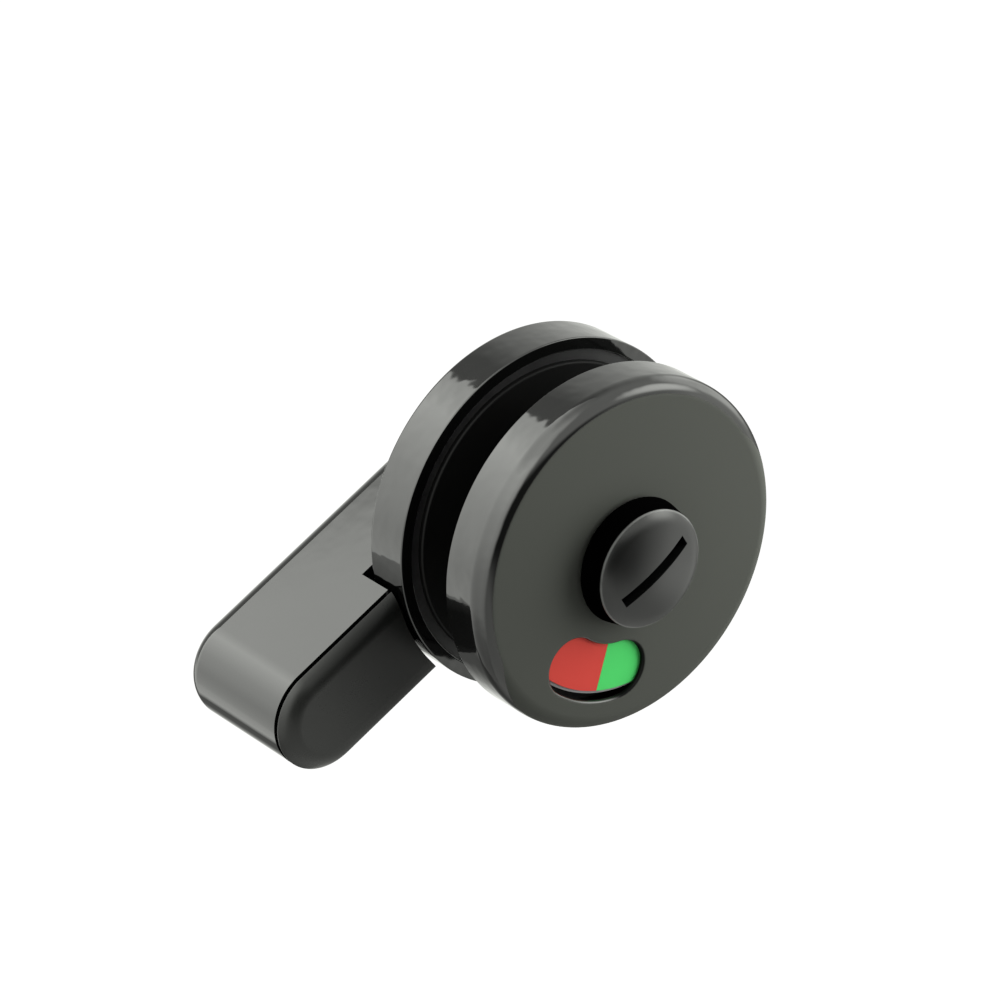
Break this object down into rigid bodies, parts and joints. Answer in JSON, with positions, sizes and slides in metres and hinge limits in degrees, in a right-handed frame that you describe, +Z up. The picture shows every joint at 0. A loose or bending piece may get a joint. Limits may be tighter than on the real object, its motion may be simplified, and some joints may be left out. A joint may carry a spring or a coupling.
{
  "type": "toilet indicator bolt",
  "caption": "Round glass-door toilet bolt: coin-slot knob and red and green window on the public side, swinging bolt arm with a matt pad on the cubicle side.",
  "frame": {"origin": "on the spindle's axis, on the glass face of the public side", "axes": "+Y through the glass into the cubicle, +Z up with the window straight below the spindle, +X right as seen from the public side"},
  "size_m": [0.0625, 0.0478, 0.0662],
  "materials": {
    "gloss_black": "gloss black lacquer on cast metal",
    "satin_black": "satin black lacquer",
    "black_nylon": "black nylon",
    "grey_nylon": "grey nylon",
    "black_rubber": "matt black rubber",
    "pad_black": "matt black hard rubber",
    "red": "red",
    "green": "green",
    "brass": "plain brass",
    "steel": "plain steel",
    "dark_steel": "blackened steel"
  },
  "bodies": {
    "housing": {"outer_rose": "gloss_black", "outer_bearing": "black_nylon", "outer_base_plate": "dark_steel", "outer_gasket": "black_rubber", "outer_grub_screw": "dark_steel", "post_left": "brass", "post_right": "brass", "glass_bush": "black_nylon", "inner_gasket": "black_rubber", "inner_base_plate": "dark_steel", "clamp_screw_left": "steel", "clamp_screw_right": "steel", "inner_rose": "gloss_black", "inner_grub_screw": "dark_steel", "inner_bearing": "black_nylon", "thrust_washer": "steel"},
    "rotor": {"coin_knob": "satin_black", "knob_pin": "steel", "spindle": "steel", "indicator_disc": "grey_nylon", "red_segment": "red", "green_segment": "green", "stop_pin": "steel", "wave_washer": "steel", "arm_shell": "gloss_black", "arm_socket": "brass", "arm_grub_screw": "dark_steel", "arm_pad": "pad_black", "pad_screw_near": "dark_steel", "pad_screw_far": "dark_steel"}
  },
  "joints": [
    {"name": "spindle_turn", "type": "hinge", "parent": "housing", "child": "rotor", "pos_m": [0, 0, 0], "axis": [0, 1, 0], "range_deg": [-41.5, 48.5]}
  ]
}
